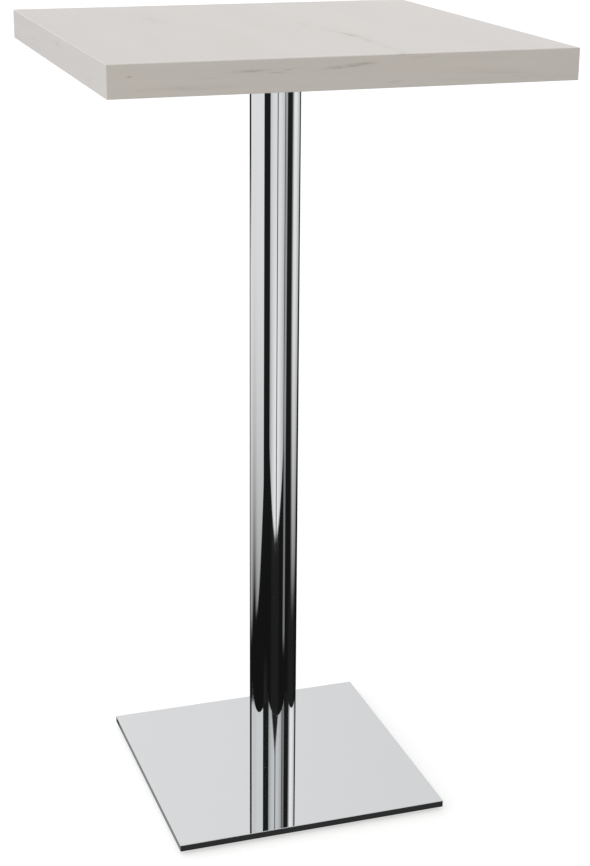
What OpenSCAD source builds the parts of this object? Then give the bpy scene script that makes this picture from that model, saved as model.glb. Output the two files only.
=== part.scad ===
// Square pub table: thick laminated top on one chromed tube column and a flat steel base plate.
// The origin is on the floor under the column's axis, +Z is up and the front faces -Y.

/* [Overall] */
// Height from the floor to the top's upper face, with the feet screwed fully in
overall_h = 1120; // [720:5:1200]

/* [Table top] */
// Width of the top, left to right
top_w = 600; // [500:5:800]
// Depth of the top, front to back
top_d = 600; // [500:5:800]
// Thickness of the top, laminates included
top_t = 40; // [30:1:60]
// Thickness of the decorative laminate and of the backing laminate
laminate_t = 0.8; // [0.5:0.1:1.5]
// Thickness of the plastic band glued round the edge
edging_t = 2; // [1.5:0.1:3]
// Radius scraped on the band's outer edges
edging_r = 1; // [0.5:0.1:1.3]

/* [Column] */
// Outer diameter of the column tube
column_d = 70; // [50:1:90]
// Wall of the column tube
column_wall = 1.5; // [1.2:0.1:3]

/* [Base plate] */
// Width of the base plate, left to right
base_w = 400; // [350:5:500]
// Depth of the base plate, front to back
base_d = 400; // [350:5:500]
// Thickness of the base plate
base_t = 10; // [9:0.5:15]
// Radius broken on the base plate's edges and corners
base_edge_r = 0.6; // [0.3:0.1:1.5]

/* [Top bracket] */
// Length of the pressed bracket, arm tip to arm tip
bracket_span = 380; // [340:5:460]
// Sheet that the bracket is pressed from
sheet_t = 3; // [2:0.5:4]
// Width of an arm where it leaves the hub
arm_root_w = 56; // [48:1:64]
// Width of an arm near its tip
arm_tip_w = 36; // [30:1:44]
// Outer radius of the bracket's hub
hub_r = 60; // [56:1:70]
// Depth of the flange round the hub
flange_root_h = 28; // [22:1:34]
// Depth of the flange at an arm's tip
flange_tip_h = 10; // [6:1:16]
// Depth of the pressed dish that holds the bolt's head below the board
dish_depth = 14; // [13.5:0.5:20]
// Width of the flat rim that the dish's floor leaves outside the column
dish_rim = 3; // [2:0.5:6]
// Run of the dish's sloping wall, seen from above
dish_slope_w = 9; // [6:0.5:12]
// Radius of the blend between two arms
arm_blend_r = 30; // [15:1:40]
// Outer radius of the half-round stiffening rib pressed in each arm
rib_r = 7; // [5:0.5:9]

/* [Column ends] */
// Thickness of the threaded plug welded in each end of the column
plug_t = 20; // [16:1:30]
// Chamfer on the plug's inner end
plug_chamfer = 2; // [1:0.5:3]

/* [Column bolts] */
// Diameter of the two column bolts
bolt_d = 12; // [10:1:14]
// Width across the flats of the upper bolt's hexagon head
hex_head_af = 19; // [17:1:22]
// Height of the upper bolt's head
hex_head_h = 7.5; // [6:0.5:8]
// Head diameter of the lower, countersunk bolt
csk_head_d = 24; // [20:1:26]
// Width across the flats of the lower bolt's socket
socket_af = 8; // [6:1:9]
// Depth of the lower bolt's socket
socket_h = 4.5; // [3:0.5:5]
// Distance from a bolt's end to the plug's inner face
bolt_tip_gap = 3; // [1:0.5:5]
// Outer diameter of the flat washer
washer_d = 24; // [21:1:28]
// Thickness of the flat washer
washer_t = 2.5; // [1.5:0.1:3]
// Outer diameter of the split spring washer
spring_washer_d = 21; // [19:1:23]
// Thickness of the split spring washer
spring_washer_t = 2.5; // [1.5:0.1:3]
// Slot in the split spring washer
spring_slot_w = 1.5; // [1:0.1:2.5]

/* [Locating pins] */
// Diameter of the pin that stops each end of the column turning
pin_d = 6; // [4:0.5:8]
// Depth that a pin enters the column's plug
pin_reach = 9; // [6:0.5:12]
// Depth that the lower pin enters the base plate
pin_seat = 5; // [3:0.5:6]

/* [Wood screws] */
// Diameter of the screws that hold the top
screw_d = 5; // [4:0.5:6]
// Length of a screw under its head
screw_len = 25; // [16:1:26]
// Diameter of a screw's pan head
screw_head_d = 10; // [8:0.5:12]
// Height of a screw's pan head
screw_head_h = 3.2; // [2:0.1:4]
// Distance from an arm's tip to its outer screw
screw_tip_inset = 20; // [16:1:28]
// Distance from the hub's rim to an arm's inner screw
screw_hub_inset = 22; // [16:1:28]
// Distance from a screw to the near end of the stiffening rib
screw_rib_gap = 18; // [14:1:24]

/* [Levelling feet] */
// Distance from the base plate's edge to a foot's axis
foot_inset = 35; // [25:1:60]
// Diameter of a foot's plastic pad
pad_d = 30; // [24:1:40]
// Thickness of a foot's plastic pad
pad_t = 3.6; // [3.2:0.1:6]
// Radius on the pad's rim
pad_rim_r = 1; // [0.5:0.1:1.5]
// Thickness of the pad's floor under the stud
pad_floor_t = 0.8; // [0.6:0.1:1.2]
// Diameter of the stud's disc that the pad clips over
disc_d = 12; // [10.5:0.5:16]
// Thickness of the stud's disc
disc_t = 1.4; // [1:0.1:1.8]
// Width across the flats of the stud's spanner collar
collar_af = 13; // [11:0.5:17]
// Thickness of the stud's spanner collar
collar_t = 2.3; // [2:0.1:4]
// Thread diameter of a foot's stud
stud_d = 8; // [6:0.5:8.5]
// Metal left above a foot's threaded hole
stud_skin = 2; // [1.5:0.5:3]

/* [Clearances] */
// Gap round a shaft, bolt or pin in its hole
fit_gap = 0.05; // [0.02:0.01:0.1]
// Gap between a foot's collar and its pad
collar_gap = 0.1; // [0.1:0.05:0.3]
// Gap round the stud's disc in its pad and past the ends of pins and screws
end_gap = 0.3; // [0.2:0.1:0.5]

/* [Hidden] */

// How far a cut runs past the face that it opens
over = 1;
// Facets on round pieces
round_fn = 96;
small_fn = 48;

// Heights above the floor
foot_h = pad_t + collar_gap + collar_t;
base_z = foot_h;
column_z = base_z + base_t;
board_z = overall_h - top_t;
dish_z = board_z - dish_depth;
hub_z = dish_z - sheet_t;
column_len = hub_z - column_z;

// Radii and places that follow from the sizes above
bore_r = column_d / 2 - column_wall;
bolt_hole_r = bolt_d / 2 + fit_gap;
pin_hole_r = pin_d / 2 + fit_gap;
pin_x = (bore_r + bolt_d / 2) / 2;
core_w = top_w - 2 * edging_t;
core_d = top_d - 2 * edging_t;
core_t = top_t - 2 * laminate_t;
dish_floor_r = column_d / 2 + dish_rim;
dish_mouth_r = dish_floor_r + dish_slope_w;
dish_wall_angle = atan2(dish_depth, dish_slope_w);
dish_shift = sheet_t * tan(dish_wall_angle / 2);
screw_outer_r = bracket_span / 2 - screw_tip_inset;
screw_inner_r = hub_r + screw_hub_inset;
screw_dome_r = screw_head_d * 0.75;
screw_cross_w = screw_d / 4;
rib_start = screw_inner_r + screw_rib_gap;
rib_end = screw_outer_r - screw_rib_gap;
csk_h = (csk_head_d - bolt_d) / 2;
foot_x = base_w / 2 - foot_inset;
foot_y = base_d / 2 - foot_inset;
stud_hole_h = base_t - stud_skin;
arm_angles = [45, 135, 225, 315];

// A rectangle with round corners, drawn with true arcs
module eased_rect(w, d, r) {
    square([w - 2 * r, d], center = true);
    square([w, d - 2 * r], center = true);
    for (sx = [-1, 1], sy = [-1, 1])
        translate([sx * (w / 2 - r), sy * (d / 2 - r)]) circle(r, $fn = small_fn);
}

// A block standing on z = 0 whose twelve edges are all eased to the radius r
module eased_block(w, d, h, r) {
    intersection() {
        linear_extrude(h) eased_rect(w, d, r);
        translate([0, d / 2, h / 2]) rotate([90, 0, 0]) linear_extrude(d) eased_rect(w, h, r);
        translate([-w / 2, 0, h / 2]) rotate([90, 0, 90]) linear_extrude(w) eased_rect(d, h, r);
    }
}

// A hexagonal prism measured across its flats
module hexagon(af, h) {
    cylinder(d = af / cos(30), h = h, $fn = 6);
}

// A block that spans from one corner to another
module span(low, high) {
    translate(low) cube(high - low);
}

// The eight screw places, on the arms of the bracket
module at_screws() {
    for (a = arm_angles, r = [screw_inner_r, screw_outer_r])
        rotate(a) translate([r, 0, 0]) children();
}

// The four foot axes at the base plate's corners
module at_feet() {
    for (sx = [-1, 1], sy = [-1, 1])
        translate([sx * foot_x, sy * foot_y, 0]) children();
}

// Holes that the screws cut in whatever lies on the bracket
module screw_holes() {
    at_screws() translate([0, 0, board_z - over])
        cylinder(r = screw_d / 2 + fit_gap, h = over + screw_len - sheet_t + end_gap, $fn = small_fn);
}

// The whole top's outer shape, which the edge bands are scraped flush with
module top_outline() {
    translate([0, 0, board_z]) eased_block(top_w, top_d, top_t, edging_r);
}

// Chipboard core between the two laminates
module top_core() {
    color("burlywood") difference() {
        translate([-core_w / 2, -core_d / 2, board_z + laminate_t]) cube([core_w, core_d, core_t]);
        screw_holes();
    }
}

// Pale wood decor on the upper face
module top_laminate() {
    color("gainsboro") translate([-core_w / 2, -core_d / 2, overall_h - laminate_t])
        cube([core_w, core_d, laminate_t]);
}

// Balancing laminate on the lower face
module backing_laminate() {
    color("gainsboro") difference() {
        translate([-core_w / 2, -core_d / 2, board_z]) cube([core_w, core_d, laminate_t]);
        screw_holes();
    }
}

// A front or back band, which runs over the ends of the side bands: side is -1 at the front
module long_band(side) {
    color("silver") intersection() {
        top_outline();
        translate([-top_w / 2, side > 0 ? top_d / 2 - edging_t : -top_d / 2, board_z])
            cube([top_w, edging_t, top_t]);
    }
}

// A side band between the front and back ones: side is -1 on the left
module side_band(side) {
    color("lightgray") intersection() {
        top_outline();
        translate([side > 0 ? top_w / 2 - edging_t : -top_w / 2, -core_d / 2, board_z])
            cube([edging_t, core_d, top_t]);
    }
}

// The bracket seen from above, drawn in by the given distance: a hub and four tapered arms
module bracket_outline(inset) {
    arm_end = bracket_span / 2 - arm_tip_w / 2;
    offset(r = -arm_blend_r, $fn = small_fn) offset(delta = arm_blend_r - inset) {
        circle(hub_r, $fn = small_fn);
        for (a = arm_angles) rotate(a) {
            polygon([[0, -arm_root_w / 2], [arm_end, -arm_tip_w / 2],
                     [arm_end, arm_tip_w / 2], [0, arm_root_w / 2]]);
            translate([arm_end, 0]) circle(d = arm_tip_w, $fn = small_fn);
        }
    }
}

// The depth that the flange reaches along one pair of arms
module flange_depth() {
    half = bracket_span / 2;
    rotate([90, 0, 0]) linear_extrude(2 * hub_r, center = true)
        polygon([[-half, 0], [-half, -flange_tip_h], [-hub_r, -flange_root_h],
                 [hub_r, -flange_root_h], [half, -flange_tip_h], [half, 0]]);
}

// A lying round bar with ball ends, along one arm
module rib_bar(r) {
    translate([rib_start, 0, 0]) rotate([0, 90, 0])
        cylinder(r = r, h = rib_end - rib_start, $fn = small_fn);
    for (x = [rib_start, rib_end]) translate([x, 0, 0]) sphere(r, $fn = small_fn);
}

// The dish's pressed cup, revolved from a section of even thickness
module dish() {
    rotate_extrude($fn = round_fn)
        polygon([[0, -dish_depth], [dish_floor_r, -dish_depth], [dish_mouth_r, 0],
                 [dish_mouth_r + dish_shift, 0], [dish_mouth_r + dish_shift, -sheet_t],
                 [dish_floor_r + dish_shift, -dish_depth - sheet_t], [0, -dish_depth - sheet_t]]);
}

// Pressed steel bracket: flat web against the board, dished hub, folded flange and ribs
module top_bracket() {
    color("dimgray") translate([0, 0, board_z]) difference() {
        union() {
            difference() {
                translate([0, 0, -sheet_t]) linear_extrude(sheet_t) bracket_outline(0);
                translate([0, 0, -sheet_t - over])
                    cylinder(r = dish_mouth_r + dish_shift / 2, h = sheet_t + 2 * over, $fn = round_fn);
            }
            dish();
            intersection() {
                translate([0, 0, -flange_root_h]) linear_extrude(flange_root_h - sheet_t / 2)
                    difference() {
                        bracket_outline(0);
                        bracket_outline(sheet_t);
                    }
                union() {
                    rotate(45) flange_depth();
                    rotate(135) flange_depth();
                }
            }
            intersection() {
                for (a = arm_angles) rotate(a) rib_bar(rib_r);
                translate([0, 0, -rib_r]) cylinder(r = bracket_span / 2, h = rib_r, $fn = small_fn);
            }
        }
        for (a = arm_angles) rotate(a) rib_bar(rib_r - sheet_t);
        translate([0, 0, -dish_depth - sheet_t - over]) {
            cylinder(r = bolt_hole_r, h = sheet_t + 2 * over, $fn = small_fn);
            translate([pin_x, 0, 0]) cylinder(r = pin_hole_r, h = sheet_t + 2 * over, $fn = small_fn);
        }
        at_screws() translate([0, 0, -sheet_t - over])
            cylinder(r = screw_d / 2 + fit_gap, h = sheet_t + 2 * over, $fn = small_fn);
    }
}

// Pan-head wood screws, driven up through the bracket into the board
module bracket_screws() {
    web_z = board_z - sheet_t;
    color("silver") at_screws() translate([0, 0, web_z - screw_head_h]) difference() {
        union() {
            intersection() {
                cylinder(d = screw_head_d, h = screw_head_h, $fn = small_fn);
                translate([0, 0, screw_dome_r]) sphere(screw_dome_r, $fn = small_fn);
            }
            cylinder(d = screw_d, h = screw_head_h + screw_len - screw_d, $fn = small_fn);
            translate([0, 0, screw_head_h + screw_len - screw_d])
                cylinder(d1 = screw_d, d2 = 0, h = screw_d, $fn = small_fn);
        }
        for (a = [0, 90]) rotate(a)
            cube([screw_d, screw_cross_w, screw_head_h], center = true);
    }
}

// Hexagon bolt that draws the column up against the bracket's hub
module upper_bolt() {
    head_z = dish_z + washer_t + spring_washer_t;
    tip_z = hub_z - plug_t + bolt_tip_gap;
    color("silver") {
        translate([0, 0, head_z]) hexagon(hex_head_af, hex_head_h);
        translate([0, 0, tip_z]) cylinder(d = bolt_d, h = head_z - tip_z, $fn = small_fn);
    }
}

// Flat washer on the dish's floor
module flat_washer() {
    color("silver") translate([0, 0, dish_z]) difference() {
        cylinder(d = washer_d, h = washer_t, $fn = small_fn);
        translate([0, 0, -over]) cylinder(r = bolt_hole_r, h = washer_t + 2 * over, $fn = small_fn);
    }
}

// Split spring washer under the bolt's head, pressed flat
module spring_washer() {
    color("gray") translate([0, 0, dish_z + washer_t]) difference() {
        cylinder(d = spring_washer_d, h = spring_washer_t, $fn = small_fn);
        translate([0, 0, -over])
            cylinder(r = bolt_hole_r, h = spring_washer_t + 2 * over, $fn = small_fn);
        span([0, -spring_slot_w / 2, -over], [spring_washer_d, spring_slot_w / 2, spring_washer_t + over]);
    }
}

// Steel plug for one end of the column, with its outer face on z = 0 and its body above
module plug() {
    r = bore_r - fit_gap;
    difference() {
        rotate_extrude($fn = round_fn)
            polygon([[bolt_hole_r, 0], [r, 0], [r, plug_t - plug_chamfer], [r - plug_chamfer, plug_t],
                     [bolt_hole_r, plug_t]]);
        translate([pin_x, 0, -over])
            cylinder(r = pin_hole_r, h = over + pin_reach + end_gap, $fn = small_fn);
    }
}

module upper_plug() {
    color("darkgray") translate([0, 0, hub_z]) mirror([0, 0, 1]) plug();
}

module lower_plug() {
    color("darkgray") translate([0, 0, column_z]) plug();
}

// Pin through the bracket's hub into the upper plug
module upper_pin() {
    color("silver") translate([pin_x, 0, hub_z - pin_reach])
        cylinder(d = pin_d, h = pin_reach + sheet_t, $fn = small_fn);
}

// Pin from the base plate into the lower plug
module lower_pin() {
    color("silver") translate([pin_x, 0, column_z - pin_seat])
        cylinder(d = pin_d, h = pin_seat + pin_reach, $fn = small_fn);
}

// Chromed tube, standing on the base plate and butting up to the bracket's hub
module column_tube() {
    color("lightsteelblue") translate([0, 0, column_z]) difference() {
        cylinder(d = column_d, h = column_len, $fn = round_fn);
        translate([0, 0, -over]) cylinder(r = bore_r, h = column_len + 2 * over, $fn = round_fn);
    }
}

// Countersunk socket bolt that draws the column down on the base plate
module lower_bolt() {
    tip_z = column_z + plug_t - bolt_tip_gap;
    color("silver") translate([0, 0, base_z]) difference() {
        union() {
            cylinder(d1 = csk_head_d, d2 = bolt_d, h = csk_h, $fn = small_fn);
            cylinder(d = bolt_d, h = tip_z - base_z, $fn = small_fn);
        }
        translate([0, 0, -over]) hexagon(socket_af, socket_h + over);
    }
}

// Flat chromed plate with a countersunk middle hole and four blind threaded holes below
module base_plate() {
    color("gainsboro") translate([0, 0, base_z]) difference() {
        eased_block(base_w, base_d, base_t, base_edge_r);
        translate([0, 0, -over]) cylinder(r = bolt_hole_r, h = base_t + 2 * over, $fn = small_fn);
        cylinder(r1 = csk_head_d / 2 + fit_gap, r2 = bolt_hole_r, h = csk_h, $fn = small_fn);
        translate([0, 0, -over]) cylinder(r = csk_head_d / 2 + fit_gap, h = over, $fn = small_fn);
        translate([pin_x, 0, base_t - pin_seat - end_gap])
            cylinder(r = pin_hole_r, h = pin_seat + end_gap + over, $fn = small_fn);
        at_feet() translate([0, 0, -over])
            cylinder(r = stud_d / 2 + fit_gap, h = over + stud_hole_h, $fn = small_fn);
    }
}

// Plastic pad that stays still on the floor while the stud turns in it
module foot_pad(sx, sy) {
    pocket_h = disc_t + collar_gap;
    color("dimgray") translate([sx * foot_x, sy * foot_y, 0]) difference() {
        rotate_extrude($fn = round_fn) difference() {
            union() {
                square([pad_d / 2 - pad_rim_r, pad_t]);
                square([pad_d / 2, pad_t - pad_rim_r]);
                translate([pad_d / 2 - pad_rim_r, pad_t - pad_rim_r]) circle(pad_rim_r, $fn = small_fn);
            }
            translate([0, pad_floor_t]) square([disc_d / 2 + end_gap, pocket_h]);
            translate([0, pad_floor_t]) square([stud_d / 2 + fit_gap, pad_t]);
        }
    }
}

// Threaded stud with a spanner collar and the disc that its pad clips over
module foot_stud(sx, sy) {
    color("silver") translate([sx * foot_x, sy * foot_y, pad_floor_t]) {
        cylinder(d = disc_d, h = disc_t, $fn = small_fn);
        cylinder(d = stud_d, h = base_z + stud_hole_h - end_gap - pad_floor_t, $fn = small_fn);
        translate([0, 0, base_z - collar_t - pad_floor_t]) hexagon(collar_af, collar_t);
    }
}

top_core();
top_laminate();
backing_laminate();
long_band(-1);  // edge_band_front
long_band(1);  // edge_band_back
side_band(-1);  // edge_band_left
side_band(1);  // edge_band_right
top_bracket();
bracket_screws();
upper_bolt();
flat_washer();
spring_washer();
upper_plug();
upper_pin();
column_tube();
lower_plug();
lower_pin();
lower_bolt();
base_plate();
foot_pad(-1, -1);  // foot_pad_front_left
foot_pad(1, -1);  // foot_pad_front_right
foot_pad(-1, 1);  // foot_pad_back_left
foot_pad(1, 1);  // foot_pad_back_right
foot_stud(-1, -1);  // foot_stud_front_left
foot_stud(1, -1);  // foot_stud_front_right
foot_stud(-1, 1);  // foot_stud_back_left
foot_stud(1, 1);  // foot_stud_back_right
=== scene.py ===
import math

import bmesh
import bpy
import numpy as np
from mathutils import Matrix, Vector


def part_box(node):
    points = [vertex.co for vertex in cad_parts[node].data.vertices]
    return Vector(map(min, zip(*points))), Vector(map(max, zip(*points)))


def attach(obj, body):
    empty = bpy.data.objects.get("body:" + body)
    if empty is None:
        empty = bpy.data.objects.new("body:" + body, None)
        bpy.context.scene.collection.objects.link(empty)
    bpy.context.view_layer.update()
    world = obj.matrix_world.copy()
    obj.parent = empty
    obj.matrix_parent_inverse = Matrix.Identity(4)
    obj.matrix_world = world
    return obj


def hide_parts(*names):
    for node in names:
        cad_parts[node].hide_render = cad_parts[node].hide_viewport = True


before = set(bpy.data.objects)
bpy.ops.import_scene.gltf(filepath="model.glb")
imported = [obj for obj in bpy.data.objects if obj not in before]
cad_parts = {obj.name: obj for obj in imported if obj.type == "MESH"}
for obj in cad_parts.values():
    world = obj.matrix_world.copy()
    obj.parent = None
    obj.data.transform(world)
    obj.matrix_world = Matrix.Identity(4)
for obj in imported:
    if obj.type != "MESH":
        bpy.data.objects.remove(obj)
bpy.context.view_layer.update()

# Square pub table: pale wood decor top, mirror-chromed column and base plate.
# Lengths are metres in the CAD frame: origin on the floor under the column, front facing -Y.

MM = 0.001
TURN = 2 * math.pi
WELD = 2e-6                       # points of a mesh that are closer than this become one
SLIVER = 1e-7                     # edges of a mesh that are shorter than this go
ONE_PLANE = math.radians(0.6)     # facets that meet at less than this are one flat
EVEN_AREA = 0.1 * MM * MM         # faces whose areas differ by less than this count alike in the shading
AROUND = 96                       # points round a turned piece

# Camera

# The photograph's camera: its place, its heading, downward pitch and roll in radians, its focal length in
# pixels, and how near and far it sees
PHOTO_W, PHOTO_H = 590, 866
EYE = (-0.75068, -2.32874, 1.40134)
HEADING, PITCH, ROLL = -0.32426, 0.33680, 0.00851
FOCAL_PX = 1794.77
SENSOR_MM = 36
NEAR, FAR = 0.05, 200


def camera():
    """The photograph's view. Its axes are the level view axes, tipped down by the pitch and then turned by
    the roll."""
    ahead = np.array([-math.sin(HEADING), math.cos(HEADING), 0])
    level = np.array([math.cos(HEADING), math.sin(HEADING), 0])
    up = np.array([0, 0, 1])
    look = ahead * math.cos(PITCH) - up * math.sin(PITCH)
    over = ahead * math.sin(PITCH) + up * math.cos(PITCH)
    side = level * math.cos(ROLL) + over * math.sin(ROLL)
    over = over * math.cos(ROLL) - level * math.sin(ROLL)
    data = bpy.data.cameras.new("photo_camera")
    data.sensor_width = SENSOR_MM
    data.lens = FOCAL_PX / max(PHOTO_W, PHOTO_H) * SENSOR_MM
    data.clip_start, data.clip_end = NEAR, FAR
    eye = bpy.data.objects.new("photo_camera", data)
    turn = Matrix(np.array([side, over, -look]).T.tolist()).to_4x4()
    eye.matrix_world = Matrix.Translation(EYE) @ turn
    bpy.context.scene.collection.objects.link(eye)
    bpy.context.scene.camera = eye


# Shader maths

class Wire:
    """A value on its way through a node tree. Arithmetic on wires adds Math nodes."""

    def __init__(self, board, socket):
        self.board, self.socket = board, socket

    def __add__(self, other):
        return self.board.maths("ADD", self, other)

    def __radd__(self, other):
        return self.board.maths("ADD", other, self)

    def __sub__(self, other):
        return self.board.maths("SUBTRACT", self, other)

    def __rsub__(self, other):
        return self.board.maths("SUBTRACT", other, self)

    def __mul__(self, other):
        return self.board.maths("MULTIPLY", self, other)

    def __rmul__(self, other):
        return self.board.maths("MULTIPLY", other, self)

    def __truediv__(self, other):
        return self.board.maths("DIVIDE", self, other)

    def __rtruediv__(self, other):
        return self.board.maths("DIVIDE", other, self)

    def __pow__(self, other):
        return self.board.maths("POWER", self, other)

    def __abs__(self):
        return self.board.maths("ABSOLUTE", self)


class Board:
    """A material's or the world's node tree, laid out by code."""

    def __init__(self, tree):
        self.tree = tree
        tree.nodes.clear()

    def node(self, kind, settings=None, sockets=None, out=0):
        """Any node: its settings first, then the values or wires of its sockets. Gives the wire of its
        output out."""
        made = self.tree.nodes.new(kind)
        for key, value in (settings or {}).items():
            if key == "stops":
                ramp = made.color_ramp.elements
                while len(ramp) < len(value):
                    ramp.new(0.5)
                for stop, (place, shade) in zip(ramp, value):
                    stop.position, stop.color = place, (*shade, 1)
            else:
                setattr(made, key, value)
        for key, value in (sockets or {}).items():
            if isinstance(value, Wire):
                self.tree.links.new(value.socket, made.inputs[key])
            else:
                made.inputs[key].default_value = value
        return Wire(self, made.outputs[out])

    def maths(self, operation, *values):
        return self.node("ShaderNodeMath", {"operation": operation}, dict(enumerate(values)))

    def least(self, a, b):
        return self.maths("MINIMUM", a, b)

    def most(self, a, b):
        return self.maths("MAXIMUM", a, b)

    def rise(self, value, low, high):
        """0 below low, 1 above high and a smooth step between; low and high may be wires."""
        return self.node("ShaderNodeMapRange", {"interpolation_type": "SMOOTHSTEP"},
                         {"Value": value, "From Min": low, "From Max": high})

    def between(self, value, low, high, soft):
        """1 from low to high and 0 outside, with edges that are soft wide."""
        half = soft / 2
        return self.rise(value, low - half, low + half) * (1 - self.rise(value, high - half, high + half))

    def vector(self, x, y, z):
        return self.node("ShaderNodeCombineXYZ", sockets={0: x, 1: y, 2: z})

    def parts(self, vector):
        """The three coordinates of a vector wire."""
        made = self.node("ShaderNodeSeparateXYZ", sockets={0: vector}).socket.node
        return [Wire(self, made.outputs[i]) for i in range(3)]

    def place(self):
        """Object coordinates, which are the CAD frame's metres on every piece."""
        return self.node("ShaderNodeTexCoord", out="Object")

    def noise(self, vector, scale=1.0, detail=2.0, rough=0.5):
        return self.node("ShaderNodeTexNoise", {"noise_dimensions": "3D"},
                         {"Vector": vector, "Scale": scale, "Detail": detail, "Roughness": rough})

    def mix(self, factor, a, b):
        """Colour a at factor 0 and b at factor 1."""
        return self.node("ShaderNodeMix", {"data_type": "RGBA"}, {0: factor, 6: a, 7: b}, out=2)

    def scaled(self, colour, amount):
        """A colour times a number."""
        return self.node("ShaderNodeVectorMath", {"operation": "SCALE"}, {0: colour, "Scale": amount})

    def bump(self, height, strength, distance):
        return self.node("ShaderNodeBump",
                         sockets={"Height": height, "Strength": strength, "Distance": distance})

    def end(self, kind, shader):
        """The output node, fed by the finished shader."""
        self.tree.links.new(shader.socket, self.tree.nodes.new(kind).inputs["Surface"])


def finish(name, sockets, build):
    """A material: the fixed sockets of its Principled shader, and the wires that build(board) returns for
    the others."""
    made = bpy.data.materials.new(name)
    made.use_nodes = True
    board = Board(made.node_tree)
    surface = board.node("ShaderNodeBsdfPrincipled", sockets={**sockets, **build(board)})
    board.end("ShaderNodeOutputMaterial", surface)
    return made


# Finishes

DECOR = (0.676, 0.642, 0.618)
DECOR_WARMER = (0.992, 0.985, 0.972)      # what its warmer clouds keep of each channel
DECOR_DARK = (0.36, 0.30, 0.25)

# The two tones between which each of the other finishes drifts
CHROME_TONES = (0.853, 0.871, 0.882, 1), (0.866, 0.882, 0.890, 1)
COAT_TONES = (0.020, 0.020, 0.021, 1), (0.030, 0.030, 0.031, 1)
ZINC_TONES = (0.56, 0.58, 0.60, 1), (0.70, 0.71, 0.71, 1)
STEEL_TONES = (0.42, 0.41, 0.40, 1), (0.50, 0.48, 0.45, 1)
POLYTHENE_TONES = (0.028, 0.028, 0.029, 1), (0.040, 0.040, 0.041, 1)
BACKING_TONES = (0.60, 0.59, 0.57, 1), (0.67, 0.66, 0.64, 1)
CHIP_BROWNS = [(0.0, (0.33, 0.21, 0.11)), (0.35, (0.48, 0.33, 0.18)),
               (0.7, (0.56, 0.41, 0.24)), (1.0, (0.64, 0.50, 0.32))]


def decor(name, along, across, marks, seed, tone=1.0, painted_light_drift=0.0):
    """Pale wood decor. along and across are the axes of the grain and of its width. tone scales the colour;
    a tone other than 1 is painted light, a lighter or darker copy of the decor for the light a face gets.
    The last argument makes the tone paler for each metre along X, a painted gradient of light. Each mark is
    (place along, place across, half length, half width, depth, slant) in metres: a bell both ways, as high
    as its depth, that leans by its slant and is broken by noise."""
    def build(board):
        axes = board.parts(board.place())
        u, v = axes[along], axes[across]

        def figure(width, per_u, per_v, layer, detail, rough=0.5):
            """Noise drawn out along the grain. Each layer is a slice of its own."""
            at = board.vector(u * per_u, width * per_v, seed + layer)
            return board.noise(at, detail=detail, rough=rough)

        wander = figure(v, 3.1, 9, 0, detail=2) - 0.5
        waver = figure(v, 26, 60, 20, detail=2) - 0.5
        mark_v = v + waver * (3 * MM)
        v = v + wander * (12 * MM)
        broad = figure(v, 2.2, 13, 3, detail=3)
        bands = figure(v, 2.6, 95, 5, detail=4, rough=0.6)
        lines = figure(v, 7, 520, 8, detail=3, rough=0.6)
        pores = figure(v, 60, 2300, 11, detail=2)
        cloud = figure(v, 8, 26, 14, detail=3)
        feather = figure(v, 55, 420, 17, detail=4, rough=0.65)

        tint = 1 + (broad - 0.5) * 0.07 + (bands - 0.5) * 0.085 + (lines - 0.5) * 0.06
        # Painted light: the colour grows paler along X, a gradient of light painted into the decor
        tint = tint + (cloud - 0.5) * 0.04 - board.rise(pores, 0.66, 0.80) * 0.035 + axes[0] * painted_light_drift
        plain = [channel * tone for channel in DECOR]
        warmer = [channel * share for channel, share in zip(plain, DECOR_WARMER)]
        colour = board.mix(board.rise(cloud, 0.35, 0.75), (*plain, 1), (*warmer, 1))
        colour = board.scaled(colour, tint)

        dark = 0.0
        for place_u, place_v, half_u, half_v, depth, slant in marks:
            du = u - place_u
            dv = (mark_v - place_v - du * slant) / half_v
            du = du / half_u
            bell = board.maths("EXPONENT", (du * du + dv * dv) * -1.0)
            dark = bell * depth + dark
        dark = board.least(dark * (0.25 + board.rise(feather, 0.32, 0.62)), 0.8)
        colour = board.mix(dark, colour, (*DECOR_DARK, 1))
        rough = 0.43 + (bands - 0.5) * 0.10 + board.rise(pores, 0.6, 0.8) * 0.06
        relief = (lines - 0.5) * 0.6 - board.rise(pores, 0.62, 0.8) + bands * 0.5
        return {"Base Color": colour, "Roughness": rough, "Normal": board.bump(relief, 0.12, 0.2 * MM)}
    return finish(name, {"Specular IOR Level": 0.35}, build)


def chrome():
    """Mirror chromium plate: nearly no roughness, with the faintest polishing haze."""
    def build(board):
        x, y, z = board.parts(board.place())
        haze = board.noise(board.vector(x * 30, y * 30, z * 6), detail=4)
        wipe = board.noise(board.vector(x * 420, y * 420, z * 14), detail=2)
        rough = 0.018 + haze * 0.012 + wipe * 0.008
        return {"Base Color": board.mix(haze, *CHROME_TONES), "Roughness": rough}
    return finish("chrome_mirror", {"Metallic": 1.0}, build)


def powder_coat():
    """Black powder coat with its orange-peel skin."""
    def build(board):
        at = board.place()
        peel = board.noise(at, scale=900, detail=1)
        grain = board.noise(at, scale=5200, detail=1)
        dust = board.noise(at, scale=60, detail=3)
        return {"Base Color": board.mix(dust, *COAT_TONES), "Roughness": 0.42 + dust * 0.12,
                "Normal": board.bump(peel * 0.8 + grain * 0.2, 0.25, 0.15 * MM)}
    return finish("black_powder_coat", {}, build)


def zinc():
    """Zinc plate, faintly blue with small cloudy spangles."""
    def build(board):
        at = board.place()
        cloud = board.noise(at, scale=240, detail=3)
        fine = board.noise(at, scale=2600, detail=2)
        return {"Base Color": board.mix(cloud, *ZINC_TONES), "Roughness": 0.24 + cloud * 0.16 + fine * 0.08,
                "Normal": board.bump(fine, 0.08, 0.05 * MM)}
    return finish("zinc_plated", {"Metallic": 1.0}, build)


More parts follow.
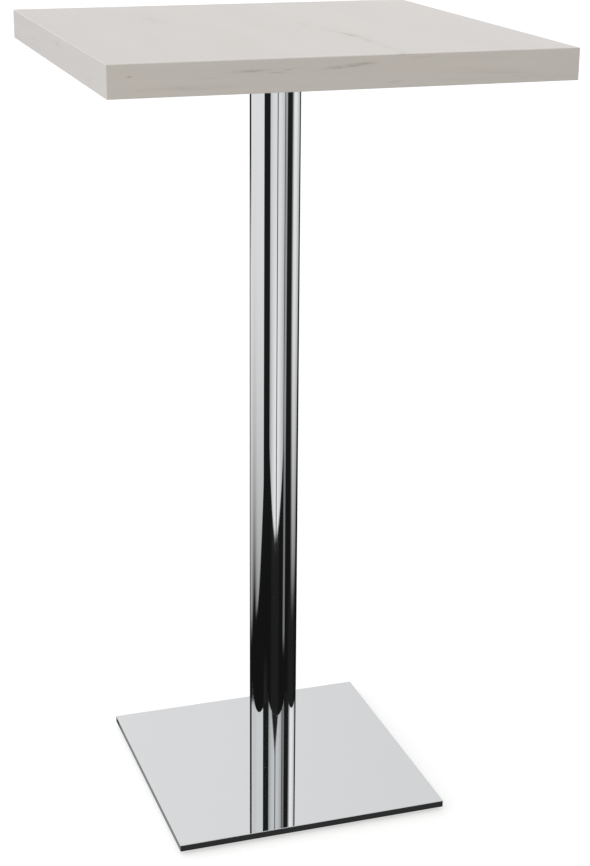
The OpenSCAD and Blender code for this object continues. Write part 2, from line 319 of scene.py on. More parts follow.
def bare_steel():
    """Turned bare steel: fine rings from the lathe and a brownish bloom."""
    def build(board):
        x, y, z = board.parts(board.place())
        ring = board.noise(board.vector((x * x + y * y) ** 0.5 * 2600, z * 2600, 0.0), detail=2)
        bloom = board.noise(board.place(), scale=110, detail=3)
        return {"Base Color": board.mix(bloom, *STEEL_TONES), "Roughness": 0.30 + ring * 0.15 + bloom * 0.1,
                "Normal": board.bump(ring, 0.15, 0.05 * MM)}
    return finish("turned_steel", {"Metallic": 1.0}, build)


def foot_plastic():
    """Black moulded polythene with a fine spark-eroded skin."""
    def build(board):
        at = board.place()
        skin = board.noise(at, scale=4200, detail=2)
        cloud = board.noise(at, scale=90, detail=2)
        return {"Base Color": board.mix(cloud, *POLYTHENE_TONES), "Roughness": 0.50 + skin * 0.15,
                "Normal": board.bump(skin, 0.2, 0.08 * MM)}
    return finish("black_polythene", {}, build)


def backing():
    """Plain off-white balancing laminate with a faint paper mottle."""
    def build(board):
        at = board.place()
        mottle = board.noise(at, scale=70, detail=4)
        pinhead = board.noise(at, scale=1800, detail=2)
        return {"Base Color": board.mix(mottle, *BACKING_TONES), "Roughness": 0.52 + mottle * 0.1,
                "Normal": board.bump(pinhead, 0.1, 0.06 * MM)}
    return finish("backing_laminate_pale", {}, build)


def chipboard():
    """Pressed wood chips in several browns."""
    def build(board):
        cells = {"Vector": board.place(), "Scale": 420}
        pick = board.parts(board.node("ShaderNodeTexVoronoi", {"feature": "F1"}, cells, out="Color"))[0]
        tone = board.node("ShaderNodeValToRGB", {"stops": CHIP_BROWNS}, {0: pick})
        return {"Base Color": tone, "Roughness": 0.75 + pick * 0.15,
                "Normal": board.bump(pick, 0.3, 0.3 * MM)}
    return finish("chipboard_core", {}, build)


# Surfaces

def quads(rows, cols, close_rows=False):
    """The faces between neighbours on a grid of rows x cols points. Each row closes on itself, and the
    last row meets the first where close_rows is set."""
    i, j = np.meshgrid(np.arange(rows - (not close_rows)), np.arange(cols), indexing="ij")
    k, m = (i + 1) % rows, (j + 1) % cols
    return np.stack([i * cols + j, i * cols + m, k * cols + m, k * cols + j], -1).reshape(-1, 4)


def angles(around):
    """The angles of that many even steps round a turn."""
    return np.arange(around) / around * TURN


def turned(rows, around=AROUND, centre=(0, 0), close=False):
    """A turned surface: the point (row, angle) lies at the row's radius along the angle and at the row's
    height. A radius or height may itself be an array over the angles. A loop of rows closes on itself."""
    a = angles(around)
    r = np.stack([np.broadcast_to(row[0], a.shape) for row in rows]) * MM
    z = np.stack([np.broadcast_to(row[1], a.shape) for row in rows]) * MM
    points = np.stack([centre[0] + r * np.cos(a), centre[1] + r * np.sin(a), z], -1)
    return points.reshape(-1, 3), quads(len(rows), around, close_rows=close)


def arc(centre_r, centre_z, radius, start, end, steps=5):
    """Rows of a rounded edge: centre plus radius at angles from start to end, in degrees."""
    t = np.radians(np.linspace(start, end, steps))
    return list(zip(centre_r + radius * np.cos(t), centre_z + radius * np.sin(t)))


def hexagon(across_flats, around=AROUND):
    """The radius of a hexagon over the angle: half its width across flats, over the cosine of the angle from
    the nearest flat's middle."""
    return across_flats / 2 / np.cos(angles(around) % (TURN / 6) - TURN / 12)


def thread(low, high, crest, depth, pitch, around=AROUND, fade_low=0.0, fade_high=0.0):
    """Rows of a right-hand thread. The radius is the crest less the depth, plus the depth times a tooth
    wave of (height / pitch - angle / turn), which fades out over the given lengths at the ends."""
    steps_per_turn = 8
    heights = np.linspace(low, high, max(3, int(round((high - low) / pitch * steps_per_turn)) + 1))
    phase = (heights[:, None] / pitch - angles(around)[None] / TURN) % 1
    wave = 1 - abs(2 * phase - 1)
    tooth = np.clip(wave * 1.25 - 0.125, 0, 1)      # flat for a tenth of the wave at crest and root
    keep = np.ones(len(heights))
    if fade_low:
        keep = np.minimum(keep, (heights - low) / fade_low)
    if fade_high:
        keep = np.minimum(keep, (high - heights) / fade_high)
    r = crest - depth + depth * tooth * keep[:, None]
    return [(r[i], heights[i]) for i in range(len(heights))]


def make(name, body, nodes, material, shells, sharp=35, steady=True):
    """One piece from its shells of (points, faces): merged, closed, facing outwards, riding on a body."""
    mesh = bpy.data.meshes.new(name)
    count, points, faces = 0, [], []
    for shell_points, shell_faces in shells:
        points.append(shell_points)
        faces.append(shell_faces + count)
        count += len(shell_points)
    mesh.from_pydata(np.concatenate(points).tolist(), [], np.concatenate(faces).tolist())
    return dress(name, mesh, body, nodes, material, sharp, steady)


def dress(name, mesh, body, nodes, material, sharp=35, steady=True, flatten=False, bevel=0.0):
    """Turns a mesh into a finished piece that stands for CAD nodes. Edges of more than sharp degrees stay
    hard. steady keeps flats flat in the shading: where faces meet smoothly, the largest sets the normal.
    Freely curved forms are left unsteady. flatten joins facets that lie in one plane, and bevel eases
    hard edges."""
    work = bmesh.new()
    work.from_mesh(mesh)
    bmesh.ops.remove_doubles(work, verts=work.verts, dist=WELD)
    bmesh.ops.dissolve_degenerate(work, edges=work.edges, dist=SLIVER)
    if flatten:
        bmesh.ops.dissolve_limit(work, angle_limit=ONE_PLANE, verts=work.verts, edges=work.edges)
    bmesh.ops.recalc_face_normals(work, faces=work.faces)
    work.to_mesh(mesh)
    work.free()
    mesh.materials.clear()
    mesh.materials.append(material)
    mesh.polygons.foreach_set("use_smooth", np.ones(len(mesh.polygons), dtype=bool))
    mesh.polygons.foreach_set("material_index", np.zeros(len(mesh.polygons), dtype=np.int32))
    mesh.set_sharp_from_angle(angle=math.radians(sharp))
    mesh.update()
    piece = bpy.data.objects.new(name, mesh)
    bpy.context.scene.collection.objects.link(piece)
    if bevel:
        edge = piece.modifiers.new("eased_edges", "BEVEL")
        edge.width, edge.segments, edge.limit_method = bevel, 2, "ANGLE"
        edge.angle_limit = math.radians(30)
        edge.harden_normals = False
    if steady or bevel:
        flats = piece.modifiers.new("steady_flats", "WEIGHTED_NORMAL")
        flats.weight, flats.keep_sharp = 100, True
        if steady:
            flats.thresh = EVEN_AREA
    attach(piece, body)
    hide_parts(*nodes)
    return piece


def copied(node):
    """A copy of a CAD node's mesh, to be merged and dressed."""
    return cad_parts[node].data.copy()


def paint(node, material):
    """Gives a CAD node that keeps its own shape a finish."""
    mesh_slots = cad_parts[node].material_slots
    if len(mesh_slots):
        for each in mesh_slots:
            each.material = material
    else:
        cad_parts[node].data.materials.append(material)


def mm_box(node):
    """A CAD node's box at rest, in millimetres."""
    low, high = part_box(node)
    return np.array(low) / MM, np.array(high) / MM


# Table top

EDGE_R = 1.0      # radius scraped on the bands' outer edges
JOINT_R = 0.15    # ease on the laminate's edge, which leaves the hairline beside the band

# The decor's darker marks on each face, as decor() describes them. Most of those on the top, the front and
# the left stand where the photograph has them
MARKS = {
    "top": [(0.024, 0.0480, 0.026, 0.0048, 0.15, 0.03), (-0.055, 0.0584, 0.028, 0.0038, 0.17, -0.18),
            (-0.106, 0.0674, 0.024, 0.0056, 0.50, -0.09), (-0.165, 0.0700, 0.028, 0.0044, 0.23, 0.02),
            (-0.238, 0.0688, 0.032, 0.0038, 0.13, -0.02), (-0.291, 0.0668, 0.009, 0.0042, 0.28, -0.03),
            (0.105, -0.1370, 0.045, 0.0060, 0.10, -0.12), (0.125, -0.1450, 0.035, 0.0070, 0.06, 0.03),
            (0.060, -0.0150, 0.110, 0.0200, 0.04, 0.02), (0.185, 0.1900, 0.060, 0.0040, 0.08, 0.04),
            (-0.180, -0.2050, 0.070, 0.0050, 0.05, -0.03)],
    "front": [(-0.1260, 1.1064, 0.024, 0.0013, 0.42, 0.025), (-0.0946, 1.1042, 0.011, 0.0008, 0.30, -0.05),
              (-0.0800, 1.1066, 0.011, 0.0008, 0.28, 0.18), (-0.0060, 1.1082, 0.026, 0.0018, 0.46, 0.080),
              (0.0120, 1.1100, 0.014, 0.0015, 0.26, 0.090), (0.0620, 1.1191, 0.006, 0.0011, 0.26, 0.0),
              (0.0877, 1.1156, 0.013, 0.0010, 0.26, 0.080), (-0.2729, 1.1049, 0.0025, 0.0009, 0.55, 0.0),
              (0.0550, 1.0870, 0.009, 0.0009, 0.42, 0.04), (-0.2050, 1.0897, 0.024, 0.0030, 0.15, 0.0),
              (-0.1640, 1.0893, 0.020, 0.0028, 0.13, -0.02), (-0.2550, 1.0896, 0.030, 0.0014, 0.12, 0.0),
              (0.1850, 1.0945, 0.045, 0.0036, 0.12, -0.08), (-0.1780, 1.1001, 0.018, 0.0010, 0.12, 0.03)],
    "back": [(0.1350, 1.1050, 0.032, 0.0016, 0.32, -0.05), (-0.1650, 1.0950, 0.045, 0.0020, 0.22, 0.04),
             (0.0200, 1.1120, 0.015, 0.0010, 0.30, 0.03)],
    "left": [(-0.0200, 1.1096, 0.014, 0.0026, 0.22, 0.03), (0.1400, 1.0980, 0.050, 0.0030, 0.10, -0.02),
             (-0.1900, 1.0900, 0.040, 0.0040, 0.07, 0.03)],
    "right": [(0.0700, 1.1020, 0.030, 0.0018, 0.30, 0.05), (-0.1500, 1.1080, 0.050, 0.0025, 0.16, -0.03),
              (0.2200, 1.0920, 0.020, 0.0012, 0.22, 0.02)],
}


def slab(low, high, ease):
    """A slab with eased edges: the outline, a rectangle with round corners, carried up a profile that is
    drawn in by ease * (1 - sin) near each face, and closed over both faces at the middle."""
    corner_steps, edge_steps = 4, 4
    mid, half = (low + high) / 2, (high - low) / 2
    t = np.linspace(0, math.pi / 2, edge_steps)
    pull, climb = ease * (1 - np.sin(t)), ease * (1 - np.cos(t))
    drawn = np.concatenate([pull, pull[::-1]])
    level = np.concatenate([low[2] + climb, high[2] - climb[::-1]])
    a = np.concatenate([np.linspace(q, q + math.pi / 2, corner_steps) for q in np.arange(4) * math.pi / 2])
    corner_x = np.repeat([1, -1, -1, 1], corner_steps)
    corner_y = np.repeat([1, 1, -1, -1], corner_steps)
    r = np.maximum(ease - drawn, 0)[:, None]
    rows = np.stack([mid[0] + corner_x * (half[0] - ease) + r * np.cos(a),
                     mid[1] + corner_y * (half[1] - ease) + r * np.sin(a),
                     np.broadcast_to(level[:, None], (len(level), len(a)))], -1)
    bottom = np.broadcast_to([mid[0], mid[1], low[2]], rows[0].shape)
    top = np.broadcast_to([mid[0], mid[1], high[2]], rows[0].shape)
    grid = np.concatenate([bottom[None], rows, top[None]])
    return grid.reshape(-1, 3) * MM, quads(*grid.shape[:2])


def band(low, high, outer_axis, outer_sign, ends_eased):
    """An edge band: its section, a rectangle whose two outer corners are rounded, is carried along the
    band. Near an eased end the section is clamped to the circle that rounds the top's corner, so that all
    edges meet in one curve."""
    along = 1 - outer_axis
    t = np.linspace(0, math.pi / 2, 7)
    drawn, level = EDGE_R * (1 - np.sin(t)), EDGE_R * (1 - np.cos(t))
    width = high[outer_axis] - low[outer_axis]
    depth = np.concatenate([[width], drawn, level, [width]])
    up = np.concatenate([[low[2]], low[2] + level, high[2] - drawn, [high[2]]])
    if ends_eased:
        stations = np.concatenate([low[along] + level, high[along] - level[::-1]])
        inset = np.concatenate([drawn, drawn[::-1]])
    else:
        stations = np.array([low[along], high[along]])
        inset = np.zeros(2)
    section_out = np.maximum(depth[None], inset[:, None])
    section_up = np.clip(up[None], (low[2] + inset)[:, None], (high[2] - inset)[:, None])
    grid = np.empty((*section_out.shape, 3))
    grid[..., along] = stations[:, None]
    if outer_sign > 0:
        grid[..., outer_axis] = high[outer_axis] - section_out
    else:
        grid[..., outer_axis] = low[outer_axis] + section_out
    grid[..., 2] = section_up
    caps = [np.broadcast_to(grid[i].mean(0), grid[i].shape) for i in (0, -1)]
    grid = np.concatenate([caps[0][None], grid, caps[1][None]])
    return grid.reshape(-1, 3) * MM, quads(*grid.shape[:2])


def table_top():
    """Laminate, four bands and what is inside them."""
    low, high = mm_box("top_laminate")
    # Painted light: the top's decor is made lighter than the bands' and paler towards +X, for the light that
    # falls on it
    wood = decor("decor_top", 1, 0, MARKS["top"], 1.7, 1.027, 0.11)
    make("laminate", "table", ["top_laminate"], wood, [slab(low, high, JOINT_R)])
    # Painted light: the front band's decor is a little darker and paler towards -X, for the light it gets
    for side, axis, sign, seed, tone, painted_light_drift in (("front", 1, -1, 21.3, 0.996, -0.05),
                                                ("back", 1, 1, 34.9, 1.0, 0.0),
                                                ("left", 0, -1, 47.1, 1.0, 0.0),
                                                ("right", 0, 1, 58.6, 1.0, 0.0)):
        low, high = mm_box("edge_band_" + side)
        wood = decor("decor_" + side, 1 - axis, 2, MARKS[side], seed, tone, painted_light_drift)
        make("band_" + side, "table", ["edge_band_" + side], wood,
             [band(low, high, axis, sign, axis == 1)])
    paint("top_core", chipboard())
    paint("backing_laminate", backing())


# Column and base

TUBE_WALL = 1.5


def column(metal):
    """The chromed tube: two walls and their eased ends, turned as one closed loop. The outer edge that
    stands on the plate is eased least."""
    low, high = mm_box("column_tube")
    outer, z0, z1 = (high[0] - low[0]) / 2, low[2], high[2]
    inner = outer - TUBE_WALL
    ease, foot = 0.12, 0.04
    outer_steps, inner_steps, around = 25, 9, 384
    rows = [(outer, z) for z in np.linspace(z0 + foot, z1 - ease, outer_steps)]
    rows += arc(outer - ease, z1 - ease, ease, 0, 90)[1:]
    rows += arc(inner + ease, z1 - ease, ease, 90, 180)
    rows += [(inner, z) for z in np.linspace(z1 - ease, z0 + ease, inner_steps)[1:]]
    rows += arc(inner + ease, z0 + ease, ease, 180, 270)[1:]
    rows += arc(outer - foot, z0 + foot, foot, 270, 360)[:-1]
    make("column", "table", ["column_tube"], metal, [turned(rows, around, close=True)], sharp=50)


def base(metal):
    """The chromed plate keeps its drilled and eased CAD shape. Its facets are fine enough to shade as they
    are."""
    dress("plate", copied("base_plate"), "table", ["base_plate"], metal, sharp=1, steady=False,
          flatten=True)


def bracket(coat):
    """The pressed bracket keeps its CAD shape; its cut edges are eased as by powder coat."""
    dress("bracket", copied("top_bracket"), "table", ["top_bracket"], coat, sharp=32,
          steady=False, flatten=True, bevel=0.4 * MM)


# Fasteners and feet

# Their sizes are millimetres, and the points of their outlines are (radius, height)
BOLT_CREST, BOLT_TOOTH = 5.97, 0.9
BOLT_THREAD = BOLT_CREST, BOLT_TOOTH, 1.75          # M12: crest radius, tooth depth and pitch
STUD_THREAD = 3.98, 0.65, 1.25                      # M8
HEAD_FLATS, SOCKET_FLATS, COLLAR_FLATS = 19, 8, 13  # how far across the hexagons are


def bolt_tip(end, inward):
    """Rows of a bolt's chamfered tip, from its thread to its middle. inward is 1 where the bolt lies
    above its tip and -1 where it lies below."""
    root = BOLT_CREST - BOLT_TOOTH
    return [(root - 0.4, end + inward * 0.3), (root - 0.9, end), (0, end)]


def ring_section(inner, outer, low, high, ease, steps=5):
    """The section of a flat ring with rounded edges: a loop of four quarter circles."""
    rows = arc(outer - ease, low + ease, ease, 270, 360, steps)
    rows += arc(outer - ease, high - ease, ease, 0, 90, steps)
    rows += arc(inner + ease, high - ease, ease, 90, 180, steps)
    rows += arc(inner + ease, low + ease, ease, 180, 270, steps)
    return rows


def upper_bolt(metal):
    """Hexagon bolt: flats cut by a cone at the head's top, a washer face below, and a thread to a chamfered
    tip."""
    low, high = mm_box("upper_bolt")
    flats = hexagon(HEAD_FLATS)
    crown_r, crown_h, crown_slope = 9.0, 2.2, 1.9
    head_low = high[2] - 7.5
    rows = [(0, high[2])]
    for drop in np.linspace(0, crown_h, 9):
        rows.append((np.minimum(flats, crown_r + drop * crown_slope), high[2] - drop))
    rows += [(flats, head_low + 0.9), (np.minimum(flats, 10.1), head_low + 0.4), (8.9, head_low + 0.35),
             (8.8, head_low), (BOLT_CREST + 0.03, head_low)]
    rows += thread(low[2] + 1.2, head_low - 0.1, *BOLT_THREAD, fade_low=1.0)[::-1]
    rows += bolt_tip(low[2], 1)
    make("hexagon_bolt", "table", ["upper_bolt"], metal, [turned(rows)], sharp=28)


def washers(metal):
    """A punched flat washer, and a split spring washer: its section is carried round from one slanted end to
    the other, which leaves a slot."""
    low, high = mm_box("flat_washer")
    rows = ring_section(6.05, 12.0, low[2], high[2], 0.3)
    make("plain_washer", "table", ["flat_washer"], metal, [turned(rows, close=True)])
    low, high = mm_box("spring_washer")
    section = np.array(ring_section(6.1, 10.5, low[2], high[2], 0.25, steps=4))
    r, z = section[:, 0], section[:, 1]
    gap, slant = math.asin(0.75 / 8), 0.06      # half the slot's angle, and how far its ends lean
    a = np.linspace(gap + slant, TURN - gap - slant, 73)[:, None]
    a = a + slant * (z - (low[2] + high[2]) / 2) / (high[2] - low[2])
    grid = np.stack([r * np.cos(a), r * np.sin(a), np.broadcast_to(z, a.shape)], -1)
    caps = [np.broadcast_to(grid[i].mean(0), grid[i].shape)[None] for i in (0, -1)]
    grid = np.concatenate([caps[0], grid, caps[1]])
    make("split_washer", "table", ["spring_washer"], metal,
         [(grid.reshape(-1, 3) * MM, quads(*grid.shape[:2]))])


def pins(metal):
    """Hardened dowel pins with a round at one end and a chamfer at the other."""
    round_r, chamfer_h, chamfer_r = 0.8, 0.7, 0.5
    for name, node in (("dowel_upper", "upper_pin"), ("dowel_lower", "lower_pin")):
        low, high = mm_box(node)
        r, x = (high[0] - low[0]) / 2, (high[0] + low[0]) / 2
        rows = [(0, low[2])] + arc(r - round_r, low[2] + round_r, round_r, 270, 360)
        rows += [(r, high[2] - chamfer_h), (r - chamfer_r, high[2]), (0, high[2])]
        make(name, "table", [node], metal, [turned(rows, 64, centre=(x * MM, 0))])


def lower_bolt(metal):
    """Countersunk bolt seen from below: a hexagon socket with its drill point, the cone, and a thread to the
    tip."""
    low, high = mm_box("lower_bolt")
    z0, z1 = low[2], high[2]
    socket = hexagon(SOCKET_FLATS)
    rows = [(0, z0 + 5.2), (2.2, z0 + 4.6), (socket * 0.98, z0 + 4.5), (socket, z0 + 4.3),
            (socket, z0 + 0.35), (np.maximum(socket, 4.75), z0), (11.7, z0), (11.95, z0 + 0.15),
            (BOLT_CREST + 0.02, z0 + 6.1)]
    rows += thread(z0 + 6.6, z1 - 1.2, *BOLT_THREAD, fade_low=0.8, fade_high=1.0)
    rows += bolt_tip(z1, -1)
    make("socket_bolt", "table", ["lower_bolt"], metal, [turned(rows)], sharp=28)


def screws(metal):
    """Eight pan-head screws. The head's face is a dome less a cross recess, whose depth is a smooth step
    across two crossing bars; the shank is a coarse thread that tapers to a point."""
    _, high = mm_box("bracket_screws")
    around = 48
    reach, head_r, head_h, dome_r = 25.0, 5.0, 3.2, 7.5
    bar_half, bar_reach, recess = 0.72, 2.6, 1.6
    crest, tooth, pitch, point_h = 2.5, 0.75, 2.0, 5
    web = high[2] - reach
    a = angles(around)
    rows = []
    for r in np.concatenate([[0], np.linspace(0.3, 3.0, 13), np.linspace(3.4, 4.6, 5)]):
        x, y = abs(r * np.cos(a)), abs(r * np.sin(a))
        dome = dome_r - np.sqrt(dome_r ** 2 - r ** 2)
        bar_x = np.clip((bar_half - y) / 0.25, 0, 1) * np.clip((bar_reach - x) / 0.7, 0, 1)
        bar_y = np.clip((bar_half - x) / 0.25, 0, 1) * np.clip((bar_reach - y) / 0.7, 0, 1)
        cut = np.maximum(bar_x, bar_y)
        cut = cut * cut * (3 - 2 * cut)
        rows.append((r, web - head_h + dome + recess * cut))
    rows += arc(head_r - 0.5, web - head_h + 2.1, 0.5, -40, 0, 3)
    rows += [(head_r, web - 0.25), (head_r - 0.25, web), (2.2, web)]
    rows += thread(web + 0.4, web + reach - point_h, crest, tooth, pitch, around, fade_low=1.0)
    for r, z in thread(web + reach - point_h, web + reach - 0.2, crest, tooth, pitch, around)[1:]:
        rows.append((r * np.clip((web + reach - z) / point_h, 0.02, 1), z))
    rows.append((0, web + reach))
    shells = []
    for quarter in range(4):
        for radius in (82.0, 170.0):
            turn = (quarter + 0.5) * TURN / 4
            points, faces = turned(rows, around)
            spin = 0.7 * quarter + radius
            c, s = math.cos(spin), math.sin(spin)
            points = points @ np.array([[c, s, 0], [-s, c, 0], [0, 0, 1]])
            points = points + np.array([radius * math.cos(turn), radius * math.sin(turn), 0]) * MM
            shells.append((points, faces))
    make("pan_screws", "table", ["bracket_screws"], metal, shells, sharp=40, steady=False)


def pad_rows():
    """A foot's pad: a sole with a dimple and two ring grooves, a flank with a moulding line, a rounded
    shoulder, and the mouth and cavity that hold the stud's disc."""
    sole = [(0, 0.25), (3.0, 0.25), (3.4, 0)]
    for r in (6.0, 9.6):
        sole += [(r, 0), (r + 0.3, 0.3), (r + 0.9, 0.3), (r + 1.2, 0)]
    flank = [(14.0, 0)] + arc(14.5, 0.5, 0.5, -80, 0, 5) + [(15.0, 1.5), (14.93, 1.6), (15.0, 1.7)]
    shoulder = arc(14.0, 2.6, 1.0, 0, 90, 7) + [(7.0, 3.6)]
    mouth = [(4.5, 3.6), (4.12, 3.3), (4.06, 2.35)]
    cavity = [(6.3, 2.3), (6.3, 0.77), (0, 0.77)]
    return sole + flank + shoulder + mouth + cavity


def stud_rows(low, high):
    """A foot's stud: a disc, a neck, a hexagon collar cut by cones above and below, and a thread."""
    flats = hexagon(COLLAR_FLATS)
    disc = [(0, low), (5.8, low), (6.0, low + 0.2), (6.0, low + 1.2), (5.8, low + 1.4)]
    neck = [(4.0, low + 1.4), (3.9, 3.7)]
    collar = [(np.minimum(flats, r), z) for r, z in ((6.4, 3.7), (6.9, 3.85), (7.3, 4.1))]
    collar += [(flats, 4.4), (flats, 5.4)]
    collar += [(np.minimum(flats, r), z) for r, z in ((7.2, 5.65), (6.8, 5.85), (6.4, 5.98))]
    turns = thread(6.0, high - 0.8, *STUD_THREAD, fade_low=0.4, fade_high=0.6)
    tip = [(2.9, high - 0.2), (2.5, high), (0, high)]
    return disc + neck + collar + [(3.5, 5.98)] + turns + tip


def feet(metal, plastic):
    """The four levelling feet, each a pad and its stud."""
    for row in ("front", "back"):
        for side in ("left", "right"):
            place = row + "_" + side
            low, high = mm_box("foot_pad_" + place)
            centre = (low[0] + high[0]) / 2 * MM, (low[1] + high[1]) / 2 * MM
            make("pad_" + place, "pad_" + place, ["foot_pad_" + place], plastic,
                 [turned(pad_rows(), centre=centre)])
            low, high = mm_box("foot_stud_" + place)
            make("stud_" + place, "stud_" + place, ["foot_stud_" + place], metal,
                 [turned(stud_rows(low[2], high[2]), centre=centre)], sharp=28)


# Studio

TOWARD = (-0.3068, -0.9518)    # level direction from the column to the camera
RIGHTWARD = (0.9518, -0.3068)  # level direction to the photograph's right
PANEL = 0.79                   # brightness of the studio's light panels in the chrome
FLAG = 0.0135                  # brightness of the dark flags between them

# The azimuths between which the panels hang, and how far down their lower ends lie
LEFT_SPAN, LEFT_END = (-150, -49.7), 0.4738
FRONT_SPAN, FRONT_END = (-20.6, 45.2), 0.4243
SLIT_SPAN = 10.3, 14.5
STRIP_SPAN, STRIP_END = (48.2, 58), 0.4964
RIGHT_SPAN, RIGHT_END = (81.3, 150), 0.4774

# The floor as the camera sees it, a matt tone and a glow, and what it throws back at the table
FLOOR_TONES = (0.50, 0.50, 0.50, 1), (0.51, 0.51, 0.51, 1)
FLOOR_GLOW = 0.57
FLOOR_BOUNCE = (0.65, 0.65, 0.65, 1)

# The matt light's red, green and blue: the plain level, and what the left and the back add
MATT_LIGHT = ((0.791, 0.23, 0.286), (0.783, 0.27, 0.321), (0.772, 0.32, 0.405))


def above(b, down, edge, soft):
    """1 above the lower end of a panel, which lies down by edge, and 0 below it."""
    return 1 - b.rise((down - edge) / soft, -1, 0.5)


def left_panel(b, azimuth, depth, down):
    """The left panel is dimmed down its length, most along a fold, and ends below in a flame whose left
    side is blurred. Gives its light and where it stands above its end."""
    glow = b.between(azimuth, *LEFT_SPAN, 2.5)
    glow = glow * (1 - b.rise(azimuth * -1.0, 135, 139) * (1 - b.rise(depth, 0.18, 0.27)))
    fold = 0.463 + b.rise(abs(azimuth + 106.7), 1, 28.5) * 0.073
    glow = glow * (1 - b.least(depth / fold, 1.0) ** 3.95) * 1.01
    right_of, left_of = b.most(azimuth + 89.8, 0.0), b.least(azimuth + 89.8, 0.0)
    end = LEFT_END - right_of * 0.00021 - right_of * right_of * 0.000047 - left_of * 0.0003
    blur = b.rise(azimuth * -1.0, 95, 125)
    return glow, above(b, down, end, 0.006 + blur * 0.0134)


def front_panel(b, azimuth, depth, down):
    """The front panel is dimmer towards both sides, has a dark slit, is brightest in a core beside it,
    and ends below in a point. Gives its light, the core's and where it stands above its end."""
    slit = 1 - b.between(azimuth, *SLIT_SPAN, 1.2) * 0.93
    deep = b.least(b.most(depth - 0.209, 0.0), 0.25)
    glow = 0.97 - (0.32 + deep * 3.3) * (1 - b.rise(azimuth, -34, 1))
    glow = glow - b.rise(azimuth, 22, 58) * (0.24 + b.least(depth, 0.4))
    glow = glow * b.between(azimuth, *FRONT_SPAN, 2) * slit
    beside = abs(azimuth - 12.4)
    core = b.most(1 - beside * beside / 170, 0.0) * b.rise(depth, 0.18, 0.34) * slit * 0.14
    left_of, right_of = b.least(azimuth - 10.2, 0.0), b.most(azimuth - 10.2, 0.0)
    end = FRONT_END - left_of * left_of * 0.000061 - right_of * right_of * 0.000046
    return glow, core, above(b, down, end, 0.006)


def strip_panel(b, azimuth, depth, down):
    """The narrow dim strip between the front and the right panel. Gives its width, its light and where it
    stands above its end."""
    width = b.between(azimuth, *STRIP_SPAN, 2)
    glow = 0.508 - b.rise(depth, 0.15, 0.22) * 0.09 - b.rise(depth, 0.33, 0.40) * 0.165
    return width, glow, above(b, down, STRIP_END, 0.012)


def right_panel(b, azimuth, depth, down):
    """The right panel has soft sides that draw in down its length. Gives its light and where it stands
    above its end."""
    start = RIGHT_SPAN[0] + b.rise(depth, 0.28, 0.46) * 6.6
    stop = RIGHT_SPAN[1] - depth * 40
    glow = b.rise(azimuth, start, start + 18.7) * (1 - b.rise(azimuth, 107.5, 137) * 0.344)
    glow = glow * (1 - b.rise(azimuth, stop - 5, stop + 5)) * 1.089
    glow = glow * (1 - b.least(depth / 0.482, 1.0) ** 4.3)
    beside = abs(azimuth - 107)
    end = RIGHT_END - beside * beside * 0.000045
    return glow, above(b, down, end, 0.03)


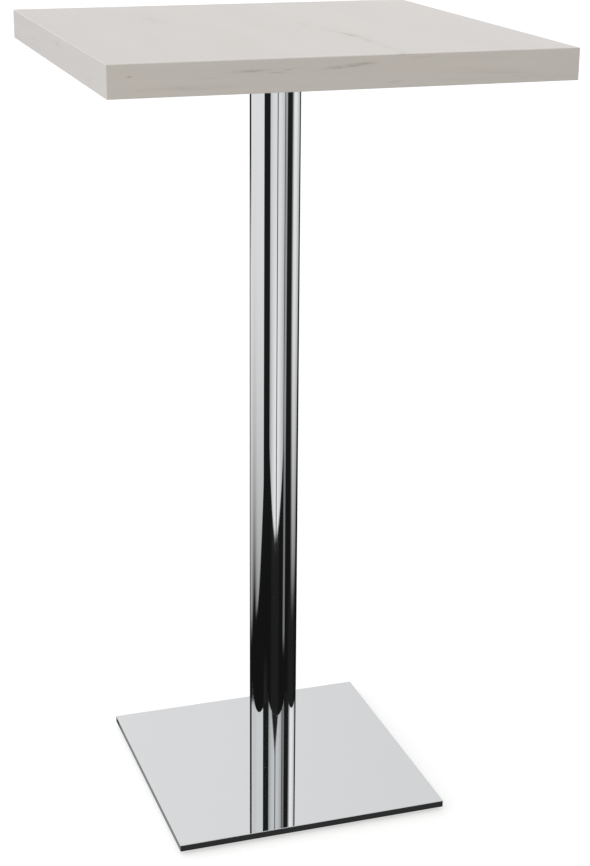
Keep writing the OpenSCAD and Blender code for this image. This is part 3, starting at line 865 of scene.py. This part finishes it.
def studio():
    """The world. The camera sees white. Matt surfaces get a soft plain light that is stronger from above,
    behind and the left. Polished ones see what stood round the object when it was photographed: light
    panels that hang between dark flags, and a dark floor. Azimuth 0 faces the camera and grows to the
    photograph's right, in degrees. A ray's lift is how far it climbs for each metre that it runs, and
    down is how far it drops."""
    world = bpy.data.worlds.new("studio")
    bpy.context.scene.world = world
    world.use_nodes = True
    b = Board(world.node_tree)
    x, y, z = b.parts(b.node("ShaderNodeTexCoord", out="Generated"))
    rightward = x * RIGHTWARD[0] + y * RIGHTWARD[1]
    azimuth = b.maths("ARCTAN2", rightward, x * TOWARD[0] + y * TOWARD[1]) * (360 / TURN)
    slope = z / ((x * x + y * y) ** 0.5 + 1e-6)
    upward = b.rise(slope, -0.002, 0.002)
    steepness = abs(slope) + 0.006
    lift, down = steepness * upward, steepness * (1 - upward)
    depth = down + b.least(lift * 0.6, 0.3)       # how far along its length a panel is seen

    left, left_below = left_panel(b, azimuth, depth, down)
    front, core, front_below = front_panel(b, azimuth, depth, down)
    strip, strip_glow, strip_below = strip_panel(b, azimuth, depth, down)
    right, right_below = right_panel(b, azimuth, depth, down)
    panels = left * left_below + (front + core) * front_below
    panels = panels + strip * strip_glow * strip_below + right * right_below

    # Above, the panels fade into a pale ceiling, which is what the base plate shows. For a camera that
    # looks up through the clear floor they run on higher, so that the column mirrors them from there too
    ceiling = 0.951 - rightward * 0.40
    behind = (1 - b.between(azimuth, -150, 150, 12)) * b.rise(lift, 0.0, 0.07)
    taller = b.least(b.node("ShaderNodeLightPath", out="Transparent Depth"), 1.0)
    high = b.most(b.rise(lift, 0.22 + taller * 0.9, 0.36 + taller * 1.5), behind)

    # In a second reflection, the chrome sees the panels once more over the plate, above a dark sill with
    # a notch that faces the camera
    sill = 0.5335 + b.most(1 - abs(azimuth - 11.2) / 21, 0.0) * 0.0375
    repeat = left * b.rise(azimuth, -134, -130) * 1.045 + front * 0.87 + strip * 0.28 + right * 1.31
    repeat = repeat * b.rise(lift - sill, -0.0008, 0.0008)
    second = b.rise(b.node("ShaderNodeLightPath", out="Glossy Depth"), 1.4, 1.6)
    ring = b.between(lift, 0.500, 0.74, 0.01) * b.between(azimuth, -168, 168, 2) * second
    seen_above = (panels * (1 - high) + ceiling * high) * (1 - ring) + repeat * ring

    # The flags aren't quite black: paler in front, faint to the sides, and the base plate's edges see the
    # floor
    dark = FLAG - b.rise(down, 0.25, 0.48) * 0.006
    dark = dark + b.between(azimuth, -10, 27, 8) * b.rise(down, 0.41, 0.43) * 0.007
    dark = dark + b.between(azimuth, 80, 125, 20) * b.rise(down, 0.44, 0.48) * 0.008
    dark = dark + b.between(azimuth, -46, -30, 8) * b.rise(down, 0.49, 0.53) * 0.011
    edge_glow = 0.022 + b.between(azimuth, -165, -120, 10) * 0.23
    dark = dark + b.rise(down, 0.54, 0.555) * edge_glow
    polished = b.scaled(b.vector(1, 1, 1), (seen_above * upward + panels * (1 - upward)) * PANEL + dark)

    skyward, leftward = b.most(z, 0.0) * 0.24, b.most(x * -1.0, 0.0)
    matt = b.vector(*(plain + skyward - x * 0.56 + leftward * side + y * back
                      for plain, side, back in MATT_LIGHT))
    glossy = b.node("ShaderNodeLightPath", out="Is Glossy Ray")
    seen = b.node("ShaderNodeLightPath", out="Is Camera Ray")
    colour = b.mix(seen, b.mix(glossy, matt, polished), (1, 1, 1, 1))
    light = b.node("ShaderNodeBackground", sockets={"Color": colour, "Strength": 1.0})
    b.end("ShaderNodeOutputWorld", light)


def floor():
    """A wide plain floor that clips to white where nothing shades it. Chrome doesn't see it, and from
    below it is clear, so that the underside can be looked at."""
    mesh = bpy.data.meshes.new("floor")
    half = 30.0
    corners = [(-half, -half, 0), (half, -half, 0), (half, half, 0), (-half, half, 0)]
    mesh.from_pydata(corners, [], [(0, 1, 2, 3)])
    made = bpy.data.materials.new("floor_white")
    made.use_nodes = True
    b = Board(made.node_tree)
    seen = b.node("ShaderNodeLightPath", out="Is Camera Ray")
    grit = b.noise(b.place(), scale=40, detail=3)
    matt = b.node("ShaderNodeBsdfDiffuse", sockets={"Color": b.mix(grit, *FLOOR_TONES)})
    bounce = b.node("ShaderNodeBsdfDiffuse", sockets={"Color": FLOOR_BOUNCE})
    glow = b.node("ShaderNodeEmission", sockets={"Color": (1, 1, 1, 1), "Strength": FLOOR_GLOW})
    lit = b.node("ShaderNodeAddShader", sockets={0: matt, 1: glow})
    both = b.node("ShaderNodeMixShader", sockets={0: seen, 1: bounce, 2: lit})
    from_below = b.node("ShaderNodeNewGeometry", out="Backfacing")
    clear = b.node("ShaderNodeBsdfTransparent")
    surface = b.node("ShaderNodeMixShader", sockets={0: from_below, 1: both, 2: clear})
    b.end("ShaderNodeOutputMaterial", surface)
    mesh.materials.append(made)
    ground = bpy.data.objects.new("floor", mesh)
    bpy.context.scene.collection.objects.link(ground)
    ground.visible_glossy = False


# The whole

camera()
studio()
floor()
mirror, coat, plated, steel = chrome(), powder_coat(), zinc(), bare_steel()
table_top()
column(mirror)
base(mirror)
bracket(coat)
upper_bolt(plated)
washers(plated)
pins(plated)
lower_bolt(plated)
screws(plated)
feet(plated, foot_plastic())
paint("upper_plug", steel)
paint("lower_plug", steel)

bpy.context.scene.view_settings.view_transform = "Standard"
